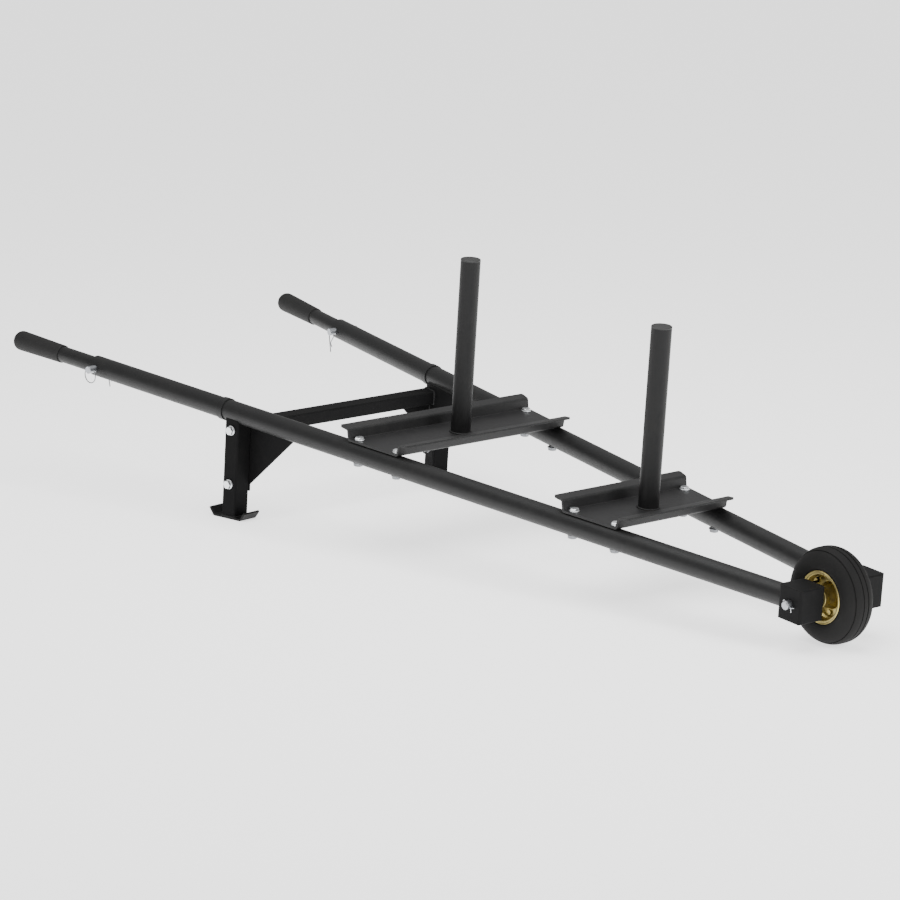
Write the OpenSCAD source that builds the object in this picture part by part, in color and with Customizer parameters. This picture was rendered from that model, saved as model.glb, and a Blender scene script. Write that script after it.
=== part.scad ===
// Plate-loaded wheelbarrow: two round rails in a V run from the handles down to one small tyred wheel.
// Everything is laid out flat along the rails, x forward and z square to them, with x = 0 at the rear post.
// standing() then tips that layout until the feet and the tyre share the ground at z = 0.

/* [Rails] */
// Outside diameter of the rails
rail_od = 50.8; // [46:0.2:56]
// Wall of the rails
rail_wall = 4.8; // [3:0.1:5]
// Angle between each rail and the centre line
half_angle = 7.6; // [6.5:0.1:8.5]
// Distance from the centre line to each rail's axis at the rear post
rail_half_gap = 253.6; // [240:0.1:270]
// Length of the rails behind the rear post, along the rail
rail_back = 983; // [900:1:1060]
// Width of the ferrule ring round each rail
ferrule_w = 18; // [8:1:30]
// Thickness of the ferrule ring
ferrule_t = 2.3; // [1.5:0.1:4]
// Gap along the rail between the ferrule ring and the leg
ferrule_gap = 12; // [4:1:30]

/* [Handles] */
// Gap all round between the handle tube and the rail that it slides in
handle_clearance = 0.35; // [0.2:0.05:0.6]
// Wall of the handle tubes
handle_wall = 2.6; // [2:0.1:5]
// Length of handle tube inside the rail
handle_inside = 260; // [160:5:400]
// Bare handle tube between the rail and the grip
handle_bare = 126; // [60:1:180]
// Length of the rubber grip
grip_l = 174; // [150:1:220]
// Radius of the grip at its thick end
grip_r = 25.2; // [24:0.1:30]
// Thickness of rubber round the tube at the grip's front end
grip_t = 2.5; // [1.5:0.1:3]
// Spacing of the adjustment holes along the handle tube
adjust_step = 50; // [30:5:80]

/* [Lock pins] */
// Distance from the rail's rear end to the lock pin
pin_inset = 21; // [16:1:40]
// Diameter of the lock pin
pin_d = 19; // [16:0.5:20]
// Gap all round the lock pin in its holes
pin_clearance = 0.3; // [0.2:0.05:0.6]
// Length of the lock pin
pin_l = 84; // [80:1:96]
// Reach of the right lock pin's outer end from the rail's axis
right_pin_out = 48; // [45:0.5:48]
// Reach of the left lock pin's outer end from the rail's axis
left_pin_out = 41; // [40:0.5:48]
// Distance of the pull ring's hole from the pin's outer end
ring_hole = 9; // [7:0.5:10]
// Distance of the hairpin's hole from the pin's inner end
hairpin_hole = 8; // [7:0.5:9]
// Wire diameter of the pull rings and hairpins
wire_d = 2.6; // [2:0.1:3]
// Gap all round the wire in its hole
wire_gap = 0.05; // [0.03:0.01:0.1]
// Radius of the pull ring
ring_r = 19.2; // [18:0.2:24]
// Drop of the pull ring's centre below the pin's axis
ring_drop = 14.7; // [14:0.1:15.5]
// Length of the hairpin's straight leg
hairpin_l = 55; // [48:0.5:62]

/* [Legs and feet] */
// Distance of the legs behind the rear post, along the rail
leg_back = 466; // [420:1:520]
// Width of the square leg tube
leg_w = 45; // [38:0.5:48]
// Wall of the leg tube
leg_wall = 3; // [2:0.1:4]
// Distance from the rail's axis down the leg to the ground
leg_drop = 264.5; // [240:0.5:300]
// Length of the foot's flat sole
sole_l = 92; // [70:1:120]
// Width of the foot plate
foot_w = 50.5; // [50:0.5:60]
// Thickness of the foot plate
foot_t = 5; // [3:0.5:8]
// Rise of the foot's turned-up lips
lip_rise = 18; // [10:0.5:26]
// Angle of the foot's lips above the ground
lip_angle = 52; // [35:1:70]

/* [Gussets and cross member] */
// Thickness of the gusset and brace plates
gusset_t = 5; // [4:0.5:7]
// Reach of the gusset along the rail in front of the leg
gusset_reach = 168; // [120:1:200]
// Depth of the gusset's top edge below the rail's axis
gusset_top = 11; // [8:0.5:11]
// Depth of the gusset's lower end below the rail's axis
gusset_low = 197; // [195:1:220]
// Depth of the cross member along the rails
cross_l = 44; // [42:1:50]
// Height of the cross member
cross_h = 33; // [32:0.5:40]
// Wall of the cross member
cross_wall = 3; // [2:0.1:3]
// Distance of the cross member behind the middle of the legs' inner faces
cross_shift = 6.5; // [0:0.5:7]
// Reach of the brace plates under the cross member
brace_reach = 85; // [60:1:100]
// Depth of the upper leg bolt below the rail's axis
bolt_high = 40.5; // [40:0.5:42]
// Depth of the lower leg bolt below the rail's axis
bolt_low = 177; // [160:1:182]

/* [Bolts] */
// Thread diameter of the frame bolts
bolt_d = 12; // [10:0.5:12]
// Clearance of a bolt in its hole, on the diameter
bolt_hole_gap = 0.7; // [0.4:0.1:1.2]
// Width across the flats of the bolt heads and nuts
bolt_af = 19; // [17:0.5:19]
// Height of a bolt head
head_h = 7.5; // [6:0.1:9]
// Height of a nut
nut_h = 10; // [8:0.1:11]
// Diameter of the washers
washer_d = 24; // [23:0.5:25]
// Thickness of the washers
washer_t = 2.4; // [1.5:0.1:3]
// Thread that stands out beyond a leg bolt's nut
thread_out = 5; // [2:0.5:8]
// Height of the tray bolts' low heads
low_head_h = 4.5; // [4:0.1:6]
// Height of the tray bolts' thin nuts
thin_nut_h = 6; // [5:0.1:8]

/* [Trays and posts] */
// Distance from the rear post forward to the front post
post_gap = 671.5; // [600:0.5:720]
// Outside diameter of the posts
post_od = 47.6; // [44:0.1:50]
// Wall of the posts
post_wall = 4; // [2.5:0.1:6]
// Height of a post above its tray, cap included
post_h = 424.5; // [350:0.5:480]
// Thickness of the post cap's rim
cap_t = 4; // [2:0.5:6]
// Thickness of the tray plates
tray_t = 4.8; // [3:0.1:6]
// Length of the tray's floor along the rails
floor_l = 160; // [154:1:190]
// Height of the tray's side walls up to the lip
wall_h = 25; // [18:0.5:40]
// Outward lean of the tray's side walls at the lip
wall_lean = 5; // [2:0.5:9]
// Length of the tray's turned-out lips
tray_lip = 26; // [15:0.5:35]
// Rise of the tray's lips over their length
tray_lip_rise = 4; // [1:0.5:8]
// Distance that the trays reach past the rails' axes
tray_over = 12.5; // [12.5:0.5:18]
// Spacing of a tray's bolts along the rails
tray_bolt_gap = 124; // [110:1:125]
// Distance of the tray bolts inside the rails' axes
tray_bolt_in = 5; // [0:0.5:6]

/* [Wheel] */
// Distance from the rear post forward to the axle
wheel_x = 1264; // [1200:1:1320]
// Radius of the tyre
wheel_r = 107; // [104:0.5:112]
// Radius of the tyre's round section, as a share of its height above the bead seat
section_share = 0.5516; // [0.53:0.005:0.57]
// Distance from the tyre's middle to the centres of its round shoulders
shoulder_y = 6.5; // [4:0.5:8]
// Thickness of the tyre's sidewall
sidewall = 5; // [4:0.1:6]
// Radius of the rim where the beads sit
bead_r = 50.8; // [48:0.1:52]
// Half width of the rim between its flanges
rim_half = 31; // [30:0.5:32]
// Height of the rim's flanges above the bead seat
flange_h = 7.2; // [6:0.1:9]
// Thickness of the rim's pressed sheet
rim_t = 2.4; // [1.6:0.1:2.5]
// Radius of the circle of rim bolts
rim_bolt_r = 37.5; // [36.5:0.5:38.5]
// Thread diameter of the rim bolts
rim_bolt_d = 6; // [5:0.5:8]
// Width across the flats of the rim bolts
rim_bolt_af = 10; // [9:0.5:13]

/* [Axle and boxes] */
// Diameter of the axle
axle_d = 20; // [18:0.1:20]
// Gap all round the axle in its boxes and sleeves
axle_gap = 0.1; // [0.05:0.05:0.3]
// Length of axle that stands out of each box
axle_out = 15; // [14:0.5:24]
// Length of the axle boxes along the rails
box_l = 70; // [64:1:90]
// Width of the axle boxes across the barrow
box_w = 70; // [64:1:76]
// Height of the axle boxes
box_h = 76; // [66:1:90]
// Wall of the axle boxes
box_wall = 5; // [3:0.5:7]
// Outside diameter of the wheel bearings
bearing_od = 42; // [41:0.5:43]
// Width of the wheel bearings
bearing_w = 12; // [11:0.5:13]
// Distance from the wheel's middle to each bearing's outer face
bearing_face = 38; // [36:0.5:40]
// Diameter of the bearing balls
ball_d = 6.4; // [5.6:0.1:6.8]
// Running gap between the balls and the inner rings
ball_gap = 0.05; // [0.03:0.01:0.08]
// Wire diameter of the split pins
split_d = 3.2; // [2.8:0.1:4]

/* [Hidden] */
$fn = 96;
BENDS = 6;

frame_black = "#2b2b2d";
rubber_black = "#1d1d1e";
zinc = "#c9cdd2";
gold = "#c9a23a";

// Places along the rails
rail_r = rail_od / 2;
bore_r = rail_r - rail_wall;
function rail_y(x) = rail_half_gap - x * tan(half_angle);
box_back = wheel_x - box_l / 2;
box_y = rail_y(box_back);
box_in = box_y - box_w / 2;
box_out = box_y + box_w / 2;
rail_front = box_back / cos(half_angle) + rail_od;
leg_half = leg_w / 2;
handle_r = bore_r - handle_clearance;
grip_front = rail_back + handle_bare;
grip_back = grip_front + grip_l;
grip_round = 18;
wire_reach = pin_d / 2 + 0.4;
function pin_out(side) = side < 0 ? right_pin_out : left_pin_out;
pin_back = rail_back - pin_inset;
overall = 2 * (wheel_x + grip_back);

// The tip of the layout: the ground touches the tyre and the middle of both soles
leg_x = -leg_back * cos(half_angle);
leg_y = rail_half_gap + leg_back * sin(half_angle);
foot_run = wheel_x - leg_x;
pitch = acos(wheel_r / norm([foot_run, leg_drop])) - atan2(foot_run, leg_drop);
axis_cos = cos(half_angle) * cos(pitch);
grip_reach = (grip_back - grip_round) * axis_cos
    + (grip_r - grip_round) * sqrt(1 - axis_cos * axis_cos) + grip_round;
rear_end = -wheel_x * cos(pitch) - grip_reach;
origin_x = (rear_end + wheel_r) / 2;

// Trays
tray_top = rail_r + tray_t;
post_xs = [0, post_gap];
tray_half = floor_l / 2 + wall_lean + tray_lip + tray_t;
lip_round = 9;
hole_d = bolt_d + bolt_hole_gap;

// Cross member between the gussets' inner faces
gusset_in = leg_half + gusset_t;
cross_x = leg_x - leg_half * sin(half_angle) - cross_shift;
cross_top = rail_r;

// Wheel
tyre_section = (wheel_r - bead_r) * section_share;
section_x = wheel_r - tyre_section;
cavity_r = tyre_section - sidewall - 0.5;
tube_r = cavity_r - 0.9;
seat_r = bead_r + rim_t / 2;
cup_r = bearing_od / 2;
cup_mid = cup_r + rim_t / 2;
race_in = axle_d / 2 + 3.6;
race_out = cup_r - 3.4;
ball_ring = (race_in + race_out) / 2;
ball_count = 11;
sleeve_r = axle_d / 2 + 3;
bearing_mid = bearing_face - bearing_w / 2;
rim_bolt_count = 4;
valve_r = bead_r - 12;
valve_d = 6;
valve_y = 7.5;
tube_t = 2.2;
valve_turn = 218.5;
rim_bolt_turn = 83.5;

// Axle boxes and axle ends
box_edge = 3.5;
split_y = box_out + split_d / 2 + 3;
split_tilt = -64;

// Outline helpers: arcs at the corners of a path, and a sheet of thickness t along a path
function unit(v) = v / norm(v);
function turned(a, v, b, r) =
    let (u = unit(v - a), w = unit(b - v), f = atan2(cross(u, w), u * w), k = f < 0 ? -1 : 1,
        start = v - u * r * tan(abs(f) / 2))
    (abs(f) < 1 || r <= 0) ? [v]
    : [for (i = [0 : BENDS]) let (g = abs(f) * i / BENDS)
        start + r * (sin(g) * u + (1 - cos(g)) * k * [-u.y, u.x])];
function bent(path, r) = concat([path[0]],
    [for (i = [1 : len(path) - 2]) each turned(path[i - 1], path[i], path[i + 1], r)],
    [path[len(path) - 1]]);
function rounded(loop, r) = let (n = len(loop))
    [for (i = [0 : n - 1]) each turned(loop[(i + n - 1) % n], loop[i], loop[(i + 1) % n], r)];
function normal_at(path, i) = let (n = len(path) - 1,
    u = unit(path[i == 0 ? 1 : i] - path[i == 0 ? 0 : i - 1]),
    w = unit(path[i == n ? n : i + 1] - path[i == n ? n - 1 : i]),
    p = [-u.y, u.x], q = [-w.y, w.x]) (p + q) / (1 + p * q);
function beside(path, d) = [for (i = [0 : len(path) - 1]) path[i] + d * normal_at(path, i)];
function backwards(list) = [for (i = [len(list) - 1 : -1 : 0]) list[i]];
function sheet(path, t) = concat(beside(path, t / 2), backwards(beside(path, -t / 2)));
function square_loop(w, h) = [[-w / 2, -h / 2], [w / 2, -h / 2], [w / 2, h / 2], [-w / 2, h / 2]];

// Stands the flat layout on the ground, with the origin below the middle of the whole barrow
module standing() {
    translate([-origin_x, 0, wheel_r]) rotate([0, pitch, 0]) translate([-wheel_x, 0, 0]) children();
}

// On the axis of the left (side 1) or right (side -1) rail: x runs forward along it
module on_rail(side) {
    translate([0, side * rail_half_gap, 0]) rotate([0, 0, -side * half_angle]) children();
}

// Mirrors a left-hand piece, drawn with y outwards, for the right side
module handed(side) {
    if (side > 0) children();
    else mirror([0, 1, 0]) children();
}

// A rod or tube along x from x0 to x1
module rod_x(x0, x1, r) {
    translate([x0, 0, 0]) rotate([0, 90, 0]) cylinder(r = r, h = x1 - x0);
}

// A rod along y from y0 to y1
module rod_y(y0, y1, r) {
    translate([0, y0, 0]) rotate([-90, 0, 0]) cylinder(r = r, h = y1 - y0);
}

// Turns a profile drawn as [radius, y] round the axle
module spun() {
    rotate([-90, 0, 0]) rotate_extrude() children();
}

// One hexagon from z = 0 up, with the width across its flats
module hexagon(af, h) {
    cylinder(d = af / cos(30), h = h, $fn = 6);
}

// A bolt hanging from z = 0: washer and head above, shank down to -l
module bolt(l, head) {
    cylinder(d = washer_d, h = washer_t);
    translate([0, 0, washer_t]) intersection() {
        hexagon(bolt_af, head);
        cylinder(r1 = bolt_af / 2 + head, r2 = bolt_af / 2, h = head);
    }
    translate([0, 0, -l]) cylinder(d = bolt_d, h = l + washer_t);
}

// A washer and nut hanging below z = 0
module nut(h) {
    difference() {
        translate([0, 0, -washer_t]) cylinder(d = washer_d, h = washer_t);
        translate([0, 0, -2 * washer_t]) cylinder(d = bolt_d, h = 3 * washer_t);
    }
    translate([0, 0, -washer_t - h]) difference() {
        hexagon(bolt_af, h);
        translate([0, 0, -1]) cylinder(d = bolt_d, h = h + 2);
    }
}

// Places along one tray's bolts on one rail
module at_tray_bolts(side, x0) {
    for (k = [-1, 1]) {
        x = x0 + k * tray_bolt_gap / 2;
        translate([x, side * (rail_y(x) - tray_bolt_in), 0]) children();
    }
}

// Places of the two leg bolts, with z pointing outwards through the leg
module at_leg_bolts() {
    for (depth = [bolt_high, bolt_low])
        translate([-leg_back, 0, -depth]) rotate([-90, 0, 0]) children();
}

// Keeps what lies between two planes parallel to the rails, reach inwards (or outwards if negative)
module between_rails(x0, x1, inset, h) {
    rear = rail_y(x0) - inset / cos(half_angle);
    front = rail_y(x1) - inset / cos(half_angle);
    linear_extrude(height = 2 * h, center = true)
        polygon([[x0, rear], [x1, front], [x1, -front], [x0, -rear]]);
}

// Tube from the handle end to the axle box, with holes for the lock pin and the trays' bolts
module rail(side) {
    color(frame_black) standing() difference() {
        on_rail(side) rod_x(-rail_back, rail_front, rail_r);
        on_rail(side) rod_x(-rail_back - 1, rail_front + 1, bore_r);
        on_rail(side) translate([-pin_back, 0, 0]) rod_y(-rail_od, rail_od, pin_d / 2 + pin_clearance);
        for (x0 = post_xs) at_tray_bolts(side, x0) cylinder(d = hole_d, h = 2 * rail_od, center = true);
        translate([box_back, -rail_half_gap, -rail_od])
            cube([2 * rail_od, 2 * rail_half_gap, 2 * rail_od]);
    }
}

// Ring that covers the joint of the rail behind the leg
module ferrule(side) {
    front = -leg_back - leg_half - ferrule_gap;
    color(frame_black) standing() on_rail(side) difference() {
        rod_x(front - ferrule_w, front, rail_r + ferrule_t);
        rod_x(front - ferrule_w - 1, front + 1, rail_r);
    }
}

// Telescoping tube, with a row of holes for the lock pin
module handle(side) {
    color(frame_black) standing() on_rail(side) difference() {
        rod_x(-grip_back + grip_round, -rail_back + handle_inside, handle_r);
        rod_x(-grip_back, -rail_back + handle_inside + 1, handle_r - handle_wall);
        for (i = [0 : 2]) translate([-pin_back + i * adjust_step, 0, 0])
            rod_y(-rail_od, rail_od, pin_d / 2 + pin_clearance);
    }
}

// Rubber grip that tapers from a closed rounded end to a thin front edge
module grip(side) {
    front_r = handle_r + grip_t;
    color(rubber_black) standing() on_rail(side) translate([-grip_back, 0, 0])
        rotate([0, 90, 0]) rotate_extrude() difference() {
            union() {
                polygon([[0, 0], [grip_r - grip_round, 0], [grip_r, grip_round], [grip_r, grip_round + 8],
                    [front_r, grip_l - 1], [front_r - 1, grip_l], [0, grip_l]]);
                intersection() {
                    translate([grip_r - grip_round, grip_round]) circle(r = grip_round);
                    square([grip_r, grip_round]);
                }
            }
            translate([0, grip_round]) square([handle_r, grip_l]);
        }
}

// Round lock pin, cross-drilled at its outer end for the pull ring and at its inner end for the hairpin
module lock_pin(side) {
    chamfer = 1;
    color(zinc) at_lock_pin(side) translate([0, pin_out(side), 0]) difference() {
        rotate([90, 0, 0]) union() {
            cylinder(r1 = pin_d / 2 - chamfer, r2 = pin_d / 2, h = chamfer);
            translate([0, 0, chamfer]) cylinder(d = pin_d, h = pin_l - 2 * chamfer);
            translate([0, 0, pin_l - chamfer])
                cylinder(r1 = pin_d / 2, r2 = pin_d / 2 - chamfer, h = chamfer);
        }
        for (y = [-ring_hole, hairpin_hole - pin_l]) translate([-pin_d, y, 0])
            rod_x(0, 2 * pin_d, wire_d / 2 + wire_gap);
    }
}

// At the lock pin of one side: x along the rail, y outwards, z up
module at_lock_pin(side) {
    standing() on_rail(side) handed(side) translate([-pin_back, 0, 0]) children();
}

// Straight wire from a to b, both in the xz plane
module wire_run(a, b) {
    translate([a.x, 0, a.y]) rotate([0, 90 - atan2(b.y - a.y, b.x - a.x), 0])
        cylinder(d = wire_d, h = norm(b - a));
}

// Bent wire in the xz plane, turning from angle a0 to a1 round a centre
module wire_arc(centre, r, a0, a1) {
    translate([centre.x, 0, centre.y]) rotate([90, 0, 0]) rotate_extrude(start = a0, angle = a1 - a0)
        translate([r, 0]) circle(d = wire_d);
}

// Spring wire pull ring: straight through the pin's hole, then round in one big arc below it
module pull_ring(side) {
    corner_r = (pow(wire_reach, 2) + pow(ring_drop, 2) - pow(ring_r, 2)) / 2 / (ring_drop - ring_r);
    join = atan2(ring_drop - corner_r, wire_reach);
    color(zinc) at_lock_pin(side) translate([0, pin_out(side) - ring_hole, 0]) {
        wire_run([-wire_reach, 0], [wire_reach, 0]);
        wire_arc([wire_reach, -corner_r], corner_r, join, 90);
        wire_arc([-wire_reach, -corner_r], corner_r, 90, 180 - join);
        wire_arc([0, -ring_drop], ring_r, 180 - join, 360 + join);
        for (k = [-1, 1]) wire_joint([k * ring_r * cos(join), ring_r * sin(join) - ring_drop]);
    }
}

// Hairpin clip hung in the pin's inner hole: a straight rear leg and a waved front leg that meets it
module hairpin(side) {
    corner_r = 3;
    rear = [-wire_reach - corner_r, -corner_r];
    tip = [1, -hairpin_l];
    lean = atan2(tip.x - rear.x, rear.y - tip.y);
    front = [wire_reach + corner_r, -pin_d / 2];
    meet_low = 0.564 * hairpin_l;
    meet = [rear.x + tan(lean) * (meet_low - corner_r) + wire_d + 0.4, -meet_low];
    flare = [meet.x + 7.5, meet.y - 8.5];
    color(zinc) at_lock_pin(side) translate([0, pin_out(side) - pin_l + hairpin_hole, 0]) {
        wire_run([-wire_reach, 0], [wire_reach, 0]);
        wire_arc([-wire_reach, -corner_r], corner_r, 90, 180);
        wire_joint(rear);
        wire_run(rear, tip);
        wire_arc([wire_reach, -corner_r], corner_r, 0, 90);
        wire_run([front.x, -corner_r], front);
        wire_joint(front);
        wire_run(front, meet);
        wire_joint(meet);
        wire_run(meet, flare);
        wire_joint(flare);
    }
}

// Rounds a corner or an end of the wire, a hair thicker than the wire itself
module wire_joint(p) {
    translate([p.x, 0, p.y]) sphere(d = wire_d + 0.06);
}

// Square tube leg, its top coped to the rail and its foot cut level with the sole
module leg(side) {
    cope = sqrt(rail_r * rail_r - leg_half * leg_half) + 1;
    color(frame_black) difference() {
        standing() difference() {
            on_rail(side) translate([-leg_back, 0, -leg_drop - leg_half])
                linear_extrude(height = leg_drop + leg_half - cope) difference() {
                    polygon(rounded(square_loop(leg_w, leg_w), leg_wall + 1));
                    polygon(rounded(square_loop(leg_w - 2 * leg_wall, leg_w - 2 * leg_wall), 1));
                }
            on_rail(side) rod_x(-leg_back - leg_w, -leg_back + leg_w, rail_r);
            on_rail(side) at_leg_bolts() cylinder(d = hole_d, h = 2 * leg_w, center = true);
        }
        translate([-overall / 2, -overall / 2, foot_t - overall]) cube(overall);
    }
}

// Bent foot plate: flat sole with a lip turned up at the back and the front
module foot(side) {
    centre_x = (leg_x - wheel_x) * cos(pitch)
        - (wheel_r - (leg_x - wheel_x) * sin(pitch)) * tan(pitch) - origin_x;
    yaw = atan2(sin(half_angle), axis_cos);
    lip_run = lip_rise / tan(lip_angle);
    path = bent([[-sole_l / 2 - lip_run, lip_rise], [-sole_l / 2, 0], [sole_l / 2, 0],
        [sole_l / 2 + lip_run, lip_rise]], foot_t + 2);
    color(frame_black) translate([centre_x, side * leg_y, foot_t / 2]) rotate([0, 0, -side * yaw])
        rotate([90, 0, 0]) linear_extrude(height = foot_w, center = true) polygon(sheet(path, foot_t));
}

// Gusset plate on the leg's inner face, reaching forward under the rail at 45 degrees
module gusset(side) {
    front = -leg_back + leg_half;
    rear = -leg_back - leg_half;
    nose = 1.5;
    outline = [[rear, -gusset_top], [front + gusset_reach, -gusset_top],
        [front + gusset_reach, -gusset_top - nose], [front, -gusset_top - gusset_reach - nose],
        [front, -gusset_low], [rear, -gusset_low]];
    color(frame_black) standing() on_rail(side) handed(side) difference() {
        translate([0, -leg_half, 0]) rotate([90, 0, 0]) linear_extrude(height = gusset_t)
            polygon(outline);
        rod_x(rear - 1, front + gusset_reach + 1, rail_r);
        at_leg_bolts() cylinder(d = hole_d, h = 4 * leg_w, center = true);
    }
}

// Triangular brace under the end of the cross member, standing on the gusset's inner face
module brace(side) {
    low = -cross_top - cross_h;
    rim = 4;
    y_out = rail_y(cross_x);
    color(frame_black) standing() intersection() {
        translate([cross_x, 0, 0]) rotate([0, 0, 90]) rotate([90, 0, 0])
            linear_extrude(height = gusset_t, center = true)
            polygon([[side * y_out, low], [side * (y_out - gusset_in - brace_reach), low],
                [side * (y_out - gusset_in - brace_reach), low - rim],
                [side * (y_out - gusset_in - rim), low - brace_reach],
                [side * y_out, low - brace_reach]]);
        between_rails(cross_x - leg_w, cross_x + leg_w, gusset_in, overall);
    }
}

// Rectangular tube between the two gussets, its ends cut parallel to the rails
module cross_member() {
    color(frame_black) standing() intersection() {
        translate([cross_x, 0, -cross_top - cross_h / 2]) rotate([90, 0, 0])
            linear_extrude(height = 3 * rail_half_gap, center = true) difference() {
                polygon(rounded(square_loop(cross_l, cross_h), cross_wall + 1));
                polygon(rounded(square_loop(cross_l - 2 * cross_wall, cross_h - 2 * cross_wall), 1));
            }
        between_rails(cross_x - cross_l, cross_x + cross_l, gusset_in, overall);
    }
}

// Two bolts through each leg and gusset, heads outside
module leg_bolts() {
    grip_len = leg_w + gusset_t + washer_t + nut_h + thread_out;
    color(zinc) standing() for (side = [-1, 1]) on_rail(side) handed(side)
        at_leg_bolts() translate([0, 0, leg_half]) bolt(grip_len, head_h);
}

// Washers and nuts on the gussets' inner faces
module leg_nuts() {
    color(zinc) standing() for (side = [-1, 1]) on_rail(side) handed(side)
        at_leg_bolts() translate([0, 0, -gusset_in]) nut(nut_h);
}

// Channel plate across both rails, its walls leaning out to turned-out lips
module tray(x0) {
    half = floor_l / 2 - tray_t / 2;
    path = bent([[-half - wall_lean - tray_lip, wall_h + tray_lip_rise], [-half - wall_lean, wall_h],
        [-half, 0], [half, 0], [half + wall_lean, wall_h],
        [half + wall_lean + tray_lip, wall_h + tray_lip_rise]], tray_t);
    rear = rail_y(x0 - tray_half) + tray_over;
    front = rail_y(x0 + tray_half) + tray_over;
    color(frame_black) standing() difference() {
        intersection() {
            translate([x0, 0, rail_r + tray_t / 2]) rotate([90, 0, 0])
                linear_extrude(height = 4 * rail_half_gap, center = true) polygon(sheet(path, tray_t));
            translate([0, 0, rail_r - 1]) linear_extrude(height = wall_h + 4 * tray_t)
                polygon(rounded([[x0 - tray_half + tray_t, rear], [x0 - tray_half + tray_t, -rear],
                    [x0 + tray_half - tray_t, -front], [x0 + tray_half - tray_t, front]], lip_round));
        }
        for (side = [-1, 1]) at_tray_bolts(side, x0)
            cylinder(d = hole_d, h = 2 * rail_od, center = true);
    }
}

// Loading post, a tube welded on its tray
module post(x0) {
    color(frame_black) standing() translate([x0, 0, tray_top]) difference() {
        cylinder(d = post_od, h = post_h - cap_t);
        translate([0, 0, -1]) cylinder(d = post_od - 2 * post_wall, h = post_h);
    }
}

// Plastic cap pressed into the post: a chamfered rim over a ribbed plug
module post_cap(x0) {
    plug_r = post_od / 2 - post_wall - 0.2;
    color(rubber_black) standing() translate([x0, 0, tray_top + post_h - cap_t])
        rotate_extrude() difference() {
            union() {
                polygon([[0, 0], [post_od / 2, 0], [post_od / 2, cap_t - 1.2],
                    [post_od / 2 - 1.2, cap_t], [0, cap_t]]);
                translate([0, -16]) square([plug_r - 0.8, 17]);
                for (z = [-14, -9, -4]) translate([0, z]) square([plug_r, 2]);
            }
            translate([0, -17]) square([plug_r - 3.2, 15]);
        }
}

// Four bolts down through each tray and both rails
module tray_bolts() {
    bolt_len = tray_top + rail_r + washer_t + thin_nut_h + 0.5;
    color(zinc) standing() for (x0 = post_xs) for (side = [-1, 1])
        at_tray_bolts(side, x0) translate([0, 0, tray_top]) bolt(bolt_len, low_head_h);
}

// Washers and nuts under the rails
module tray_nuts() {
    color(zinc) standing() for (x0 = post_xs) for (side = [-1, 1])
        at_tray_bolts(side, x0) translate([0, 0, -rail_r]) nut(thin_nut_h);
}

// Welded box that carries one end of the axle; the rail enters its rear face
module axle_box(side) {
    color(frame_black) standing() difference() {
        translate([wheel_x, side * box_y, 0]) intersection() {
            rotate([90, 0, 0]) linear_extrude(height = box_w, center = true)
                polygon(rounded(square_loop(box_l, box_h), box_edge));
            linear_extrude(height = box_h, center = true)
                polygon(rounded(square_loop(box_l, box_w), 2 * box_edge));
        }
        translate([wheel_x, side * box_y, 0])
            cube([box_l - 2 * box_wall, box_w - 2 * box_wall, box_h - 2 * box_wall], center = true);
        translate([wheel_x, side * box_y, 0]) rod_y(-box_w, box_w, axle_d / 2 + axle_gap);
        translate([wheel_x, side * box_y, 0]) rod_x(-box_l, 0, bore_r - 4);
    }
}

// Axle through both boxes, chamfered ends, cross-drilled for the split pins
module axle() {
    end = box_out + axle_out;
    color(zinc) standing() translate([wheel_x, 0, 0]) difference() {
        spun() polygon([[0, -end], [axle_d / 2 - 2, -end], [axle_d / 2, -end + 2], [axle_d / 2, end - 2],
            [axle_d / 2 - 2, end], [0, end]]);
        for (k = [-1, 1]) translate([0, k * split_y, 0]) rotate([0, split_tilt, 0])
            cylinder(d = split_d + 0.4, h = 2 * axle_d, center = true);
    }
}

// Split pins: a round eye above the axle, the shank through it and two tails bent apart below
module split_pins() {
    eye_r = split_d * 0.6;
    eye_wire = split_d * 0.35;
    tail = 10;
    up = axle_d / 2 + 1;
    color(zinc) standing() translate([wheel_x, 0, 0]) for (k = [0, 1]) mirror([0, k, 0])
        translate([0, split_y, 0]) rotate([0, split_tilt, 0]) {
            translate([0, 0, -up]) cylinder(d = split_d, h = 2 * up);
            translate([0, 0, up + eye_r]) rotate([90, 0, 0]) rotate_extrude()
                translate([eye_r, 0]) circle(r = eye_wire);
            for (bend = [-41, 54]) translate([0, 0, -up]) rotate([0, bend, 0])
                translate([0, 0, -tail]) cylinder(d = split_d * 0.6, h = tail);
            translate([0, 0, -up]) sphere(d = split_d);
        }
}

// Sleeves on the axle between the bearings and the boxes
module axle_spacers() {
    color(zinc) standing() translate([wheel_x, 0, 0]) for (k = [0, 1]) mirror([0, k, 0]) difference() {
        rod_y(bearing_face, box_in, sleeve_r);
        rod_y(bearing_face - 1, box_in + 1, axle_d / 2 + axle_gap);
    }
}

// Sleeve on the axle between the two bearings
module hub_sleeve() {
    inner_face = bearing_face - bearing_w;
    color(zinc) standing() translate([wheel_x, 0, 0]) difference() {
        rod_y(-inner_face, inner_face, sleeve_r);
        rod_y(-inner_face - 1, inner_face + 1, axle_d / 2 + axle_gap);
    }
}

// Inner bearing rings on the axle, each with its ball groove
module bearing_inner_rings() {
    color(zinc) standing() translate([wheel_x, 0, 0]) for (k = [-1, 1]) translate([0, k * bearing_mid, 0])
        spun() difference() {
            translate([axle_d / 2 + axle_gap, -bearing_w / 2])
                square([race_in - axle_d / 2 - axle_gap, bearing_w]);
            translate([ball_ring, 0]) circle(r = ball_d / 2 + ball_gap);
        }
}

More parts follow.
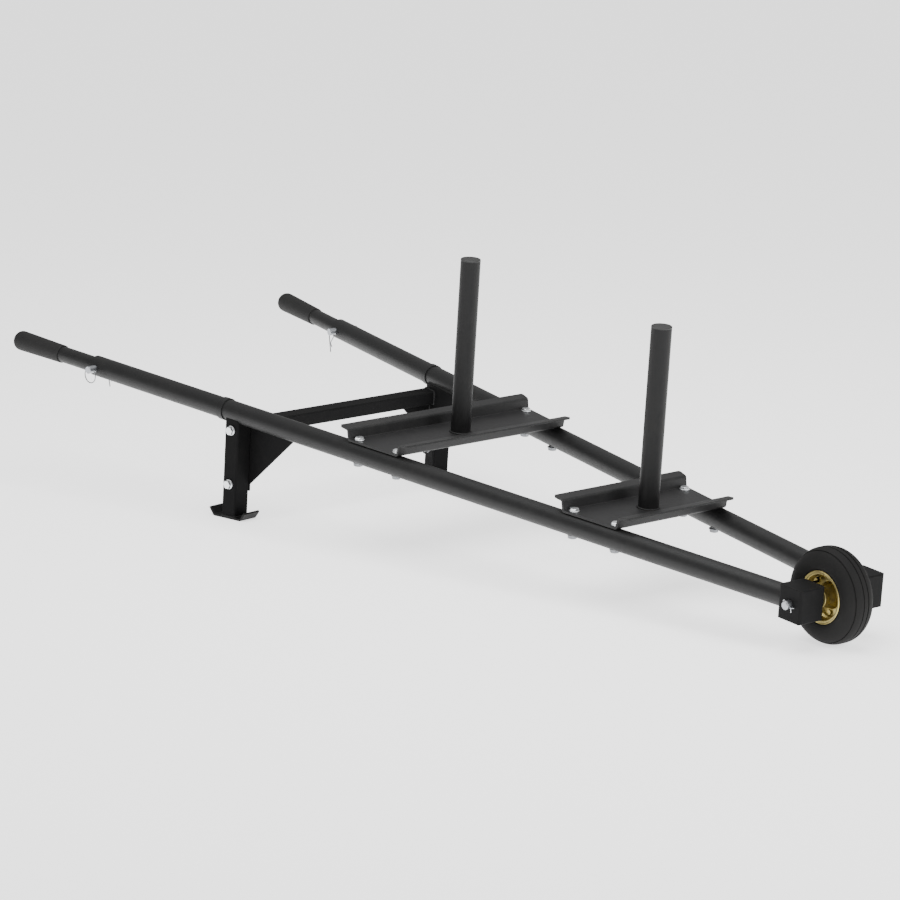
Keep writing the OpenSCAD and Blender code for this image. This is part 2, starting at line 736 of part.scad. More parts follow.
// Outer bearing rings, pressed into the rims' cups
module bearing_outer_rings() {
    ring_edge = 0.8;
    color(zinc) standing() translate([wheel_x, 0, 0]) for (k = [-1, 1]) translate([0, k * bearing_mid, 0])
        spun() difference() {
            polygon([[race_out, -bearing_w / 2], [cup_r - ring_edge, -bearing_w / 2],
                [cup_r, ring_edge - bearing_w / 2], [cup_r, bearing_w / 2 - ring_edge],
                [cup_r - ring_edge, bearing_w / 2], [race_out, bearing_w / 2]]);
            translate([ball_ring, 0]) circle(r = ball_d / 2 + ball_gap);
        }
}

// Balls of both bearings, evenly spread
module bearing_balls() {
    color(zinc) standing() translate([wheel_x, 0, 0]) for (k = [-1, 1]) translate([0, k * bearing_mid, 0])
        for (i = [0 : ball_count - 1]) rotate([0, i * 360 / ball_count, 0]) translate([ball_ring, 0, 0])
            sphere(d = ball_d);
}

// Centre line of one pressed rim half as [radius, y], from the flange to the bearing cup's lip
function rim_path() = let (flat_y = rim_t / 2, base = rim_bolt_r - rim_bolt_af / 2 - 3,
    cup_in = bearing_face - bearing_w - 1)
    [[bead_r + flange_h, rim_half + 3.4], [bead_r + flange_h - 2, rim_half + 1],
        [bead_r + 1, rim_half], [bead_r, rim_half - 3], [bead_r, 11], [bead_r - 4.5, 6],
        [bead_r - 5.5, flat_y], [base, flat_y], [cup_mid + 1, cup_in - 4], [cup_mid, cup_in],
        [cup_mid, bearing_face + rim_t / 2], [cup_mid - 4, bearing_face + rim_t / 2]];

// One rim half: side 1 is the barrow's left, side -1 its right
module rim(side) {
    color(gold) standing() translate([wheel_x, 0, 0]) handed(side) difference() {
        spun() polygon(sheet(bent(rim_path(), 1.6), rim_t));
        at_rim_bolts() cylinder(d = rim_bolt_d + 0.4, h = 8 * rim_t, center = true);
        if (side < 0) handed(-1) at_valve() rod_x(bead_r - 8, section_x, valve_d / 2 + 0.3);
    }
}

// Places of the rim bolts, with z pointing to the barrow's left
module at_rim_bolts() {
    for (i = [0 : rim_bolt_count - 1]) rotate([0, rim_bolt_turn + i * 360 / rim_bolt_count, 0])
        translate([rim_bolt_r, 0, 0]) rotate([-90, 0, 0]) children();
}

// Bolts that clamp the rim halves together, heads on the right
module rim_bolts() {
    head = 5;
    color(zinc) standing() translate([wheel_x, 0, 0]) at_rim_bolts() {
        translate([0, 0, -rim_t - head]) rotate([0, 0, 30]) hexagon(rim_bolt_af, head);
        translate([0, 0, -rim_t - 1]) cylinder(d = rim_bolt_d, h = 2 * rim_t + 9);
    }
}

// Their nuts on the left
module rim_nuts() {
    color(zinc) standing() translate([wheel_x, 0, 0]) at_rim_bolts() translate([0, 0, rim_t]) difference() {
        rotate([0, 0, 30]) hexagon(rim_bolt_af, 6);
        translate([0, 0, -1]) cylinder(d = rim_bolt_d, h = 8);
    }
}

// Tyre section outline: two round shoulders of radius r and a flat crown between them
module tyre_outline(r) {
    for (k = [-1, 1]) translate([section_x, k * shoulder_y]) circle(r = r);
    translate([section_x - r, -shoulder_y]) square([2 * r, 2 * shoulder_y]);
}

// Tyre: hollow section with round shoulders, beads seated behind the rim's flanges, ribbed tread
module tyre() {
    bead_top = bead_r + flange_h + rim_t;
    bead_out = rim_half - rim_t / 2 - 0.3;
    bead_in = bead_out - 10.5;
    groove_w = 2.4;
    groove_d = 1.8;
    color(rubber_black) standing() translate([wheel_x, 0, 0]) spun() difference() {
        union() {
            tyre_outline(tyre_section);
            translate([seat_r, -bead_out]) square([tyre_section, 2 * bead_out]);
        }
        translate([0.5, 0]) tyre_outline(cavity_r);
        translate([0, -bead_in]) square([section_x, 2 * bead_in]);
        translate([0, -2 * tyre_section]) square([seat_r, 4 * tyre_section]);
        for (k = [0, 1]) mirror([0, k]) {
            polygon([[seat_r - 1, rim_half - 4], [seat_r + 0.1, rim_half - 4],
                [seat_r + 1.1, rim_half - 1], [seat_r + 1.1, rim_half], [seat_r - 1, rim_half]]);
            translate([0, bead_out]) square([bead_top, 2 * tyre_section]);
            for (a = [0, 37]) translate([section_x, shoulder_y]) rotate([0, 0, a])
                translate([tyre_section - groove_d, -groove_w / 2]) square([2 * groove_d, groove_w]);
        }
    }
}

// Inner tube that fills the tyre
module inner_tube() {
    color(rubber_black) standing() translate([wheel_x, 0, 0]) difference() {
        spun() translate([0.5, 0]) difference() {
            tyre_outline(tube_r);
            tyre_outline(tube_r - tube_t);
        }
        at_valve() rod_x(0, section_x, valve_d / 2);
    }
}

// Bent valve stem: out of the inner tube, through the right rim half's seat and then outwards
module valve_stem() {
    bend_r = 6;
    tube_end = section_x + 0.5 - sqrt(pow(tube_r - tube_t, 2) - pow(valve_y - shoulder_y, 2)) + 1;
    color(rubber_black) standing() translate([wheel_x, 0, 0]) at_valve() {
        rod_x(valve_r + bend_r, tube_end, valve_d / 2);
        translate([valve_r + bend_r, -bend_r, 0]) rotate_extrude(angle = 90, start = 90)
            translate([bend_r, 0]) circle(d = valve_d);
        translate([valve_r, 0, 0]) rod_y(-bend_r - 12, -bend_r, valve_d / 2);
        translate([valve_r, 0, 0]) rod_y(-bend_r - 16, -bend_r - 12, valve_d / 2 - 0.8);
    }
}

// Frame of the valve stem: x points out along the wheel's radius, y = 0 at the hole in the seat
module at_valve() {
    rotate([0, valve_turn, 0]) translate([0, -valve_y, 0]) children();
}

rail(1);  // left_rail
rail(-1);  // right_rail
ferrule(1);  // left_ferrule
ferrule(-1);  // right_ferrule
handle(1);  // left_handle
handle(-1);  // right_handle
grip(1);  // left_grip
grip(-1);  // right_grip
lock_pin(1);  // left_lock_pin
lock_pin(-1);  // right_lock_pin
pull_ring(1);  // left_pull_ring
pull_ring(-1);  // right_pull_ring
hairpin(1);  // left_hairpin
hairpin(-1);  // right_hairpin
leg(1);  // left_leg
leg(-1);  // right_leg
foot(1);  // left_foot
foot(-1);  // right_foot
gusset(1);  // left_gusset
gusset(-1);  // right_gusset
brace(1);  // left_brace
brace(-1);  // right_brace
cross_member();
leg_bolts();
leg_nuts();
tray(0);  // rear_tray
tray(post_gap);  // front_tray
post(0);  // rear_post
post(post_gap);  // front_post
post_cap(0);  // rear_post_cap
post_cap(post_gap);  // front_post_cap
tray_bolts();
tray_nuts();
axle_box(1);  // left_axle_box
axle_box(-1);  // right_axle_box
axle();
axle_spacers();
hub_sleeve();
bearing_inner_rings();
bearing_outer_rings();
bearing_balls();
split_pins();
tyre();
inner_tube();
rim(1);  // left_rim
rim(-1);  // right_rim
rim_bolts();
rim_nuts();
valve_stem();
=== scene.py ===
import math

import bmesh
import bpy
import numpy as np
from mathutils import Matrix


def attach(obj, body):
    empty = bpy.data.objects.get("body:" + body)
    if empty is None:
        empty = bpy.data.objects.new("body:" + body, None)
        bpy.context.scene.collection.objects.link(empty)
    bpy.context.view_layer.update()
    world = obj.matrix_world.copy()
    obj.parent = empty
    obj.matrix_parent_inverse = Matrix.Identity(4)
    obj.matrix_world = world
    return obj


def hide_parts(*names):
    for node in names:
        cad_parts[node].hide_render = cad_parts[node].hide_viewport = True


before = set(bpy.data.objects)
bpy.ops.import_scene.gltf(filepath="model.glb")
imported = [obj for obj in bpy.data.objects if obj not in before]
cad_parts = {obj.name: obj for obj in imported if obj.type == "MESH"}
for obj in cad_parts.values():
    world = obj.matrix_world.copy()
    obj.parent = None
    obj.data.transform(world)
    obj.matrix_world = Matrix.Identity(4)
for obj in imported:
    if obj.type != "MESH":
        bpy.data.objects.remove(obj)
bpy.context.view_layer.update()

# The view
# The barrow is seen from the front right and a little above, wheel near and handles far,
# through a long lens. Nothing here is part of the object.
view_right = (0.631333005, 0.775511469, -0.000774040)
view_up = (-0.170171869, 0.139508169, 0.975489111)
view_back = (0.756610978, -0.615726752, 0.220046348)
view_place = (6.941172, -5.718619, 2.243564)
camera = bpy.data.objects.new("view", bpy.data.cameras.new("view"))
camera.data.sensor_width = 36
camera.data.lens = 155.187
camera.data.clip_end = 200
camera.matrix_world = Matrix(list(zip(view_right, view_up, view_back, view_place)) + [(0, 0, 0, 1)])
bpy.context.scene.collection.objects.link(camera)
bpy.context.scene.camera = camera


# Floor and light
# A plain white studio sweep: a wide pale floor that glows, one large soft light overhead and a
# smaller one in front of the wheel, so that the black paint reads by broad, gentle reflections.
class Flow:
    """One socket of a finish. Arithmetic on it adds Math nodes to the same finish."""

    def __init__(self, finish, socket):
        self.finish = finish
        self.socket = socket

    def maths(self, operation, first, second):
        return self.finish.node("ShaderNodeMath", {"operation": operation}, {0: first, 1: second})

    def __add__(self, other):
        return self.maths("ADD", self, other)

    def __radd__(self, other):
        return self.maths("ADD", other, self)

    def __sub__(self, other):
        return self.maths("SUBTRACT", self, other)

    def __rsub__(self, other):
        return self.maths("SUBTRACT", other, self)

    def __mul__(self, other):
        return self.maths("MULTIPLY", self, other)

    def __rmul__(self, other):
        return self.maths("MULTIPLY", other, self)


class Finish:
    """A material being mixed: node() adds any node, and shader() closes it with the surface's own sockets."""

    def __init__(self, name):
        self.material = bpy.data.materials.new(name)
        self.material.use_nodes = True
        self.tree = self.material.node_tree
        self.tree.nodes.clear()

    def node(self, kind, settings=None, sockets=None, output=0):
        """Adds one node: its settings first, a ramp's stops as (place, grey) pairs, then values or links."""
        made = self.tree.nodes.new(kind)
        for key, value in (settings or {}).items():
            if key == "stops":
                for place, grey in value[2:]:
                    made.color_ramp.elements.new(place)
                for stop, (place, grey) in zip(made.color_ramp.elements, value):
                    stop.position = place
                    stop.color = (grey, grey, grey, 1)
            else:
                setattr(made, key, value)
        for key, value in (sockets or {}).items():
            if isinstance(value, Flow):
                self.tree.links.new(value.socket, made.inputs[key])
            else:
                made.inputs[key].default_value = value
        return Flow(self, made.outputs[output]) if made.outputs else None

    def place(self):
        """The point on the piece, in metres in the barrow's own frame."""
        return self.node("ShaderNodeTexCoord", output="Object")

    def grain(self, scale, detail=2.0, rough=0.5, place=None):
        """Cloudy noise from 0 to 1 with about `scale` lumps to the metre."""
        return self.node("ShaderNodeTexNoise", {}, {
            "Vector": place or self.place(), "Scale": scale, "Detail": detail, "Roughness": rough})

    def steps(self, value, *stops):
        """Maps a number through straight lines between (place, result) stops."""
        return self.node("ShaderNodeValToRGB", {"stops": stops}, {0: value})

    def tint(self, share, first, second):
        """Mixes two colours."""
        return self.node("ShaderNodeMix", {"data_type": "RGBA"}, {0: share, 6: first, 7: second}, output=2)

    def relief(self, height, depth, below=None):
        """Turns a height from 0 to 1 into a surface normal, depth in metres."""
        sockets = {"Height": height, "Strength": 1.0, "Distance": depth}
        if below is not None:
            sockets["Normal"] = below
        return self.node("ShaderNodeBump", {}, sockets)

    def shader(self, **sockets):
        """Closes the finish; underscores in the socket names stand for spaces."""
        named = {key.replace("_", " "): value for key, value in sockets.items()}
        surface = self.node("ShaderNodeBsdfPrincipled", {}, named)
        self.node("ShaderNodeOutputMaterial", {}, {"Surface": surface})
        return self.material


def sheet_of(name, corners, material):
    """One flat face through the given corners."""
    mesh = bpy.data.meshes.new(name)
    mesh.from_pydata(corners, [], [tuple(range(len(corners)))])
    piece = bpy.data.objects.new(name, mesh)
    piece.data.materials.append(material)
    bpy.context.scene.collection.objects.link(piece)
    return piece


floor_reach = 60.0
floor_finish = Finish("studio_floor")
floor = sheet_of("studio_floor", [(-floor_reach, -floor_reach, 0), (floor_reach, -floor_reach, 0),
                                  (floor_reach, floor_reach, 0), (-floor_reach, floor_reach, 0)],
                 floor_finish.shader(Base_Color=(0.92, 0.92, 0.92, 1), Roughness=0.95,
                                     Emission_Color=(1, 1, 1, 1), Emission_Strength=1.4))

world = bpy.data.worlds.new("studio")
world.use_nodes = True
world.node_tree.nodes["Background"].inputs["Color"].default_value = (1, 1, 1, 1)
world.node_tree.nodes["Background"].inputs["Strength"].default_value = 0.55
bpy.context.scene.world = world


def soft_light(name, place, aim, size, power):
    """A square soft box that hangs at place and points at aim."""
    lamp = bpy.data.objects.new(name, bpy.data.lights.new(name, "AREA"))
    lamp.data.shape = "SQUARE"
    lamp.data.size = size
    lamp.data.energy = power
    back = np.array(place, float) - np.array(aim, float)
    back /= np.linalg.norm(back)
    side = np.cross((0.0, 1.0, 0.0), back)
    side /= np.linalg.norm(side)
    up = np.cross(back, side)
    turn = np.eye(4)
    turn[:3, 0], turn[:3, 1], turn[:3, 2], turn[:3, 3] = side, up, back, place
    lamp.matrix_world = Matrix(turn.tolist())
    bpy.context.scene.collection.objects.link(lamp)


soft_light("overhead", (0.3, -0.4, 3.6), (0, 0, 0.2), 3.6, 150)
soft_light("key", (5.0, 0.8, 2.4), (0.4, 0, 0.3), 2.0, 120)

# Rails
# Two round steel tubes in a V from the handles down to the axle boxes. Welded tube, blasted and
# powder coated satin black: the cured powder keeps a fine orange-peel skin.
def eased_edges(finish, width):
    """The surface normal, rounded over within width metres of every edge."""
    return finish.node("ShaderNodeBevel", {"samples": 4}, {"Radius": width})


def edge_of(finish, eased):
    """How sharply the surface turns under an eased normal: 0 on a flat, about 0.3 on a square edge."""
    true = finish.node("ShaderNodeNewGeometry", output="Normal")
    agree = finish.node("ShaderNodeVectorMath", {"operation": "DOT_PRODUCT"}, {0: eased, 1: true},
                        output="Value")
    return 1 - agree


def powder_coat(name, black=0.0100, gloss=0.46, peel=0.00006, ease=0.0011, sheen=0.32):
    """Satin black powder coat: orange peel, faint cloudiness, paler where it thins over edges."""
    coat = Finish(name)
    place = coat.place()
    eased = eased_edges(coat, ease)
    edge = edge_of(coat, eased)
    cloud = coat.grain(9, 4, 0.6, place)
    rub = coat.grain(60, 5, 0.7, place)
    fleck = coat.grain(1400, 1, 0.5, place)
    thin = coat.steps(edge * (0.6 + 0.8 * rub), (0.03, 0.0), (0.22, 1.0))
    dust = coat.steps(cloud * rub, (0.22, 0.0), (0.42, 1.0))
    base = coat.tint(dust * 0.5, (black, black, black * 1.03, 1), (black * 1.7, black * 1.66, black * 1.6, 1))
    worn = coat.tint(thin * 0.35, base, (black * 4.5, black * 4.4, black * 4.3, 1))
    skin = coat.relief(coat.grain(420, 2, 0.5, place), peel, eased)
    skin = coat.relief(fleck, peel * 0.2, skin)
    return coat.shader(Base_Color=worn, Normal=skin, Roughness=gloss + 0.10 * (rub - 0.5) + 0.08 * dust,
                       IOR=1.45, Specular_IOR_Level=sheen)


def dress(finish, *nodes):
    """Gives CAD nodes a finish in place of their plain one."""
    for node in nodes:
        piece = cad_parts[node]
        piece.data.materials.clear()
        piece.data.materials.append(finish)


rail_coat = powder_coat("rail_coat")
dress(rail_coat, "left_rail", "right_rail")

# Ferrules
# A short steel ring round each rail behind the leg, covering the joint of the tube's two
# lengths. Same satin black coat as the rails.
dress(rail_coat, "left_ferrule", "right_ferrule")

# Handle tubes
# Telescoping tubes that slide in the rails, with a row of cross holes for the lock pins. The
# same coat, polished by sliding, so a little glossier.
handle_coat = powder_coat("handle_coat", gloss=0.42)
dress(handle_coat, "left_handle", "right_handle")

# Grips
# Tapered rubber grips pushed over the tube ends. Dipped, matte black rubber with a fine
# pebbled skin that scatters light.
grip = Finish("grip_rubber")
grip_place = grip.place()
pebble = grip.node("ShaderNodeTexVoronoi", {"feature": "SMOOTH_F1"},
                   {"Vector": grip_place, "Scale": 620.0, "Smoothness": 0.6})
grip_cloud = grip.grain(26, 4, 0.6, grip_place)
grip_tone = grip.tint(grip_cloud, (0.0100, 0.0100, 0.0103, 1), (0.019, 0.0186, 0.0181, 1))
grip_rubber = grip.shader(Base_Color=grip_tone, Roughness=0.62 + 0.16 * grip_cloud, Specular_IOR_Level=0.26,
                          Normal=grip.relief(1 - pebble, 0.00012))
dress(grip_rubber, "left_grip", "right_grip")

# Lock pins, pull rings and hairpins
# Round zinc plated pins through the rails and handles, each with a spring wire pull ring at the
# outer end and a hairpin clip through the inner end. Bright, slightly bluish passivated zinc.
def zinc_plate(name, tone=(0.60, 0.62, 0.65), gloss=0.30, ease=0.0006):
    """Bright zinc plate: steel-blue clouding, fine drawn scratches and softened edges."""
    plate = Finish(name)
    place = plate.place()
    eased = eased_edges(plate, ease)
    cloud = plate.grain(55, 4, 0.6, place)
    fine = plate.grain(900, 3, 0.6, place)
    spangle = plate.tint(cloud, (tone[0] * 0.86, tone[1] * 0.89, tone[2] * 0.94, 1),
                         (tone[0] * 1.08, tone[1] * 1.07, tone[2] * 1.03, 1))
    dull = plate.tint(plate.steps(fine * cloud, (0.2, 0.0), (0.45, 1.0)) * 0.35, spangle,
                      (tone[0] * 0.55, tone[1] * 0.55, tone[2] * 0.55, 1))
    rough = gloss + 0.16 * (cloud - 0.5) + 0.10 * (fine - 0.5)
    return plate.shader(Base_Color=dull, Metallic=1.0, Roughness=rough,
                        Normal=plate.relief(fine, 0.00002, eased))


pin_zinc = zinc_plate("pin_zinc", tone=(0.42, 0.43, 0.45))
dress(pin_zinc, "left_lock_pin", "right_lock_pin")
wire_zinc = zinc_plate("wire_zinc", tone=(0.24, 0.245, 0.25), gloss=0.26, ease=0.0002)
dress(wire_zinc, "left_pull_ring", "right_pull_ring", "left_hairpin", "right_hairpin")

# Legs and feet
# Square tube legs bolted to the gussets, each standing on a bent steel foot plate. The feet lose
# some coat on their soles and lips.
# painted shade: the legs' black is darker than the rails' (0.0078 against 0.010) for their shaded outer
# faces; the coat is the same
leg_coat_painted_shade = powder_coat("leg_coat_painted_shade", black=0.0078, gloss=0.5, sheen=0.03)
dress(leg_coat_painted_shade, "left_leg", "right_leg")
foot_coat = powder_coat("foot_coat", black=0.0095, gloss=0.5, ease=0.0016, sheen=0.15)
dress(foot_coat, "left_foot", "right_foot")

# Gussets, braces and cross member
# Cut steel plates and a rectangular tube, welded together into one yoke between the rails.
# painted shade: the yoke's black is darker than the rails' (0.0085 against 0.010) for its shaded faces; the
# coat is the same
yoke_coat_painted_shade = powder_coat("yoke_coat_painted_shade", black=0.0085, gloss=0.5, ease=0.0012, sheen=0.04)
dress(yoke_coat_painted_shade, "left_gusset", "right_gusset", "left_brace", "right_brace", "cross_member")

# Trays
# Folded sheet steel channels bolted across both rails. The flat sheet shows the coat's cloudiness
# more than the tubes do.
# painted light: the trays' black is lighter than the rails' (0.016 against 0.010) for their upward faces lit
# from above; the coat is the same
tray_coat_painted_light = powder_coat("tray_coat_painted_light", black=0.0160, gloss=0.45, ease=0.0014, sheen=0.30)
dress(tray_coat_painted_light, "rear_tray", "front_tray")

# Posts and caps
# Loading posts of round tube, welded upright on the trays, and a moulded plastic cap pressed
# into the top of each.
# painted light: the posts' black is lighter than the rails' (0.0115 against 0.010) for their lit sides; the
# coat is the same
post_coat_painted_light = powder_coat("post_coat_painted_light", black=0.0115, sheen=0.22)
dress(post_coat_painted_light, "rear_post", "front_post")
cap = Finish("cap_plastic")
cap_place = cap.place()
cap_eased = eased_edges(cap, 0.0006)
cap_cloud = cap.grain(120, 3, 0.6, cap_place)
cap_tone = cap.tint(cap_cloud, (0.012, 0.012, 0.0125, 1), (0.019, 0.019, 0.0187, 1))
cap_plastic = cap.shader(Base_Color=cap_tone, Roughness=0.46 + 0.12 * cap_cloud,
                         Normal=cap.relief(cap.grain(2200, 2, 0.5, cap_place), 0.00004, cap_eased))
dress(cap_plastic, "rear_post_cap", "front_post_cap")

# Axle boxes
# Welded plate boxes at the rails' front ends that carry the axle.
box_coat = powder_coat("box_coat", black=0.0098, ease=0.0016, sheen=0.05)
dress(box_coat, "left_axle_box", "right_axle_box")

# Welds
# Arc welds along the joints of the frame: a bead of crescent ripples about 6 mm wide, coated with
# the frame. The legs and trays are bolted on, so they have none against the rails.
tip_angle = math.radians(5.199608)
rail_turn = math.radians(7.6)
rail_gap = 0.2536
rail_radius = 0.0254
wheel_flat = np.array([1.264, 0.0, 0.0])
wheel_stood = np.array([1.209839, 0.0, 0.107])


def stood(points):
    """Tips points of the flat layout down to the floor: turned about y by the tip angle at the wheel."""
    p = np.asarray(points, float) - wheel_flat
    c, s = math.cos(tip_angle), math.sin(tip_angle)
    tipped = np.stack([p[..., 0] * c + p[..., 2] * s, p[..., 1], p[..., 2] * c - p[..., 0] * s], -1)
    return tipped + wheel_stood


def along_rail(side, points):
    """From a rail's own frame, x along it, y outwards and z up, to the flat layout."""
    p = np.asarray(points, float)
    c, s = math.cos(rail_turn), math.sin(rail_turn)
    x = p[..., 0] * c + p[..., 1] * s
    y = side * (rail_gap - p[..., 0] * s + p[..., 1] * c)
    return np.stack([x, y, p[..., 2]], -1)


def knit(name, grids, finish, body, crease=40):
    """Joins grids of points, rows x columns x 3 with the columns closed round, into one smooth object."""
    points, faces, start = [], [], 0
    for grid in grids:
        rows, columns = grid.shape[:2]
        index = start + np.arange(rows * columns).reshape(rows, columns)
        right = np.roll(index, -1, 1)
        faces.append(np.stack([index[:-1], right[:-1], right[1:], index[1:]], -1).reshape(-1, 4))
        points.append(grid.reshape(-1, 3))
        start += rows * columns
    mesh = bpy.data.meshes.new(name)
    mesh.from_pydata(np.concatenate(points).tolist(), [], np.concatenate(faces).tolist())
    shape = bmesh.new()
    shape.from_mesh(mesh)
    bmesh.ops.remove_doubles(shape, verts=shape.verts, dist=2e-6)
    bmesh.ops.recalc_face_normals(shape, faces=shape.faces)
    shape.to_mesh(mesh)
    shape.free()
    mesh.shade_smooth()
    mesh.set_sharp_from_angle(angle=math.radians(crease))
    mesh.materials.append(finish)
    piece = bpy.data.objects.new(name, mesh)
    bpy.context.scene.collection.objects.link(piece)
    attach(piece, body)
    return piece


def bead(path, closed=False, radius=0.0028, ripple=0.0032, sides=12, step=0.0008):
    """A weld bead: a round section carried along the path. Its radius swells and shrinks as |sin| of the
    distance run, and that distance lags round the section, which bends each ripple into a crescent."""
    path = np.asarray(path, float)
    if closed:
        path = np.vstack([path, path[:1]])
    run = np.concatenate([[0], np.cumsum(np.linalg.norm(np.diff(path, axis=0), axis=1))])
    count = max(8, int(run[-1] / step))
    at = np.linspace(0, run[-1], count)
    centre = np.stack([np.interp(at, run, path[:, k]) for k in range(3)], -1)
    ahead = np.gradient(centre, axis=0)
    if closed:
        ahead[0] = ahead[-1] = centre[1] - centre[-2]
    ahead /= np.linalg.norm(ahead, axis=1, keepdims=True)
    askew = np.array([0.31, 0.57, 0.76])
    across = np.cross(ahead, askew)
    across /= np.linalg.norm(across, axis=1, keepdims=True)
    over = np.cross(ahead, across)
    turn = np.linspace(0, 2 * math.pi, sides, endpoint=False)
    lag = 0.0011 * np.cos(2 * turn)
    wave = np.abs(np.sin(math.pi * (at[:, None] + lag[None, :]) / ripple))
    girth = radius * (0.86 + 0.16 * wave)
    if not closed:
        taper = np.sqrt(np.clip(np.minimum(at, run[-1] - at) / radius, 0, 1))
        girth = girth * taper[:, None]
    ring = across[:, None] * np.cos(turn)[None, :, None] + over[:, None] * np.sin(turn)[None, :, None]
    return centre[:, None] + ring * girth[..., None]


def line(a, b):
    """Two end points as a path."""
    return np.array([a, b], float)


def eased_loop(half_w, half_h, corner, n=6):
    """A rectangle with round corners, as (u, v) points."""
    turns = np.linspace(0, math.pi / 2, n)
    corners = [(half_w - corner, half_h - corner, 0), (corner - half_w, half_h - corner, 1),
               (corner - half_w, corner - half_h, 2), (half_w - corner, corner - half_h, 3)]
    return np.concatenate([np.stack([u + corner * np.cos(turns + k * math.pi / 2),
                                     v + corner * np.sin(turns + k * math.pi / 2)], -1)
                           for u, v, k in corners])


leg_back = 0.466
leg_half = 0.0225
plate_t = 0.005
yoke_in = leg_half + plate_t
gusset_nose = 0.168
gusset_top = 0.011
cross_behind = 0.0065
cross_half_l = 0.022
cross_h = 0.033
cross_x = -leg_back * math.cos(rail_turn) - leg_half * math.sin(rail_turn) - cross_behind
cross_low = rail_radius + cross_h
brace_reach = 0.085
post_places = (0.0, 0.6715)
post_radius = 0.0240
tray_t = 0.0048
tray_top = rail_radius + tray_t
box_back = 1.264 - 0.035
foot_top = 0.005
weld_skin = 0.0002
weld_in = 0.002
corner_r = 0.004
post_weld_up = 0.0052
round_turn = np.linspace(0, 2 * math.pi, 72, endpoint=False)
weld_coat = powder_coat("weld_coat", gloss=0.5, peel=0.00004, ease=0.0004)


def yoke_y(x):
    """Half the gap between the gussets' inner faces at x, in the flat layout."""
    return rail_gap - x * math.tan(rail_turn) - yoke_in / math.cos(rail_turn)


weld_beads = []
for side in (-1, 1):
    # gusset to the rail, and leg to the gusset's upper edge
    ledge_y = -math.sqrt(rail_radius ** 2 - gusset_top ** 2) - weld_skin
    face_z = -math.sqrt(rail_radius ** 2 - leg_half ** 2)
    gusset_end = -leg_back + leg_half + gusset_nose - 0.003
    weld_beads.append(bead(stood(along_rail(side, line(
        (-leg_back - leg_half + weld_in, ledge_y, -gusset_top), (gusset_end, ledge_y, -gusset_top))))))
    weld_beads.append(bead(stood(along_rail(side, line(
        (-leg_back + leg_half + 0.004, -leg_half, face_z), (gusset_end, -leg_half, face_z)))),
        radius=0.0024))

    # cross member's end round to the gusset
    loop = eased_loop(cross_half_l, cross_h / 2, corner_r)
    x = cross_x + loop[:, 0]
    weld_beads.append(bead(stood(np.stack(
        [x, side * yoke_y(x), loop[:, 1] - (cross_low + rail_radius) / 2], -1)), closed=True, radius=0.0026))

    # brace under the cross member and down the gusset, on both faces
    for face in (-1, 1):
        x = cross_x + face * plate_t / 2
        weld_beads.append(bead(stood(line(
            (x, side * (yoke_y(x) - 0.006), -cross_low),
            (x, side * (yoke_y(cross_x) - brace_reach + weld_in), -cross_low))), radius=0.0022))
        weld_beads.append(bead(stood(line(
            (x, side * yoke_y(x), -cross_low - 0.006),
            (x, side * yoke_y(x), -cross_low - brace_reach + weld_in))), radius=0.0022))

for post_x in post_places:
    weld_beads.append(bead(stood(np.stack(
        [post_x + post_radius * np.cos(round_turn), post_radius * np.sin(round_turn),
         np.full_like(round_turn, rail_radius + post_weld_up)], -1)), closed=True, radius=0.0032))

for side in (-1, 1):
    # rail to the axle box's back
    offset = (rail_radius + weld_skin) * np.cos(round_turn)
    reach = (box_back - offset * math.sin(rail_turn)) / math.cos(rail_turn)
    ring = np.stack([reach, offset, (rail_radius + weld_skin) * np.sin(round_turn)], -1)
    weld_beads.append(bead(stood(along_rail(side, ring)), closed=True, radius=0.0030))

for side in (-1, 1):
    # leg to its foot plate, which lies level once the barrow is stood
    loop = eased_loop(leg_half, leg_half, corner_r)
    flat = along_rail(side, np.stack([-leg_back + loop[:, 0], loop[:, 1], np.zeros(len(loop))], -1))
    c, s = math.cos(tip_angle), math.sin(tip_angle)
    flat[:, 2] = (foot_top + 0.0004 - wheel_stood[2] + (flat[:, 0] - wheel_flat[0]) * s) / c
    weld_beads.append(bead(stood(flat), closed=True, radius=0.0026))
knit("frame_welds", weld_beads, weld_coat, "frame")

# Bolts and nuts of the frame
# Bright zinc plated hexagon bolts with plain washers: two through each leg and gusset, four down
# through each tray and both rails. The nuts and their washers are the same zinc painted much darker:
# painted shade for their place under the rails and on the inner side of the legs. The leg bolts' rolled
# threads stand out beyond the nuts, and the tray bolts end nearly flush with theirs.
def hexagon_at(turn, flats):
    """Radius of a hexagon, across flats wide, in direction turn."""
    return flats / 2 / np.cos((turn + math.pi / 6) % (math.pi / 3) - math.pi / 6)


def head_grid(flats, height, both_ends=False, hole=0.0, sides=72):
    """A hexagon whose corners are turned off by a 30 degree cone: at each height the radius is the lesser of
    the hexagon's and the cone's. With a hole it is a nut, else its faces close at the middle."""
    turn = np.linspace(0, 2 * math.pi, sides, endpoint=False)
    six = hexagon_at(turn, flats)
    land = flats / 2 * 0.97
    steep = math.tan(math.radians(60))
    fall = np.linspace(0, 1, 5) * (flats / 2 / math.cos(math.pi / 6) - land) / steep
    coned = np.minimum(six, land + fall[:, None] * steep)
    low = (coned, fall) if both_ends else (six[None], np.zeros(1))
    inner = np.full((1, sides), max(hole, 1e-6))
    radius = np.vstack([inner, low[0], coned[::-1], inner] + ([inner] if hole else []))
    z = np.concatenate([[0], low[1], height - fall[::-1], [height], [0] * bool(hole)])
    return np.stack([radius * np.cos(turn), radius * np.sin(turn),
                     np.broadcast_to(z[:, None], radius.shape)], -1)


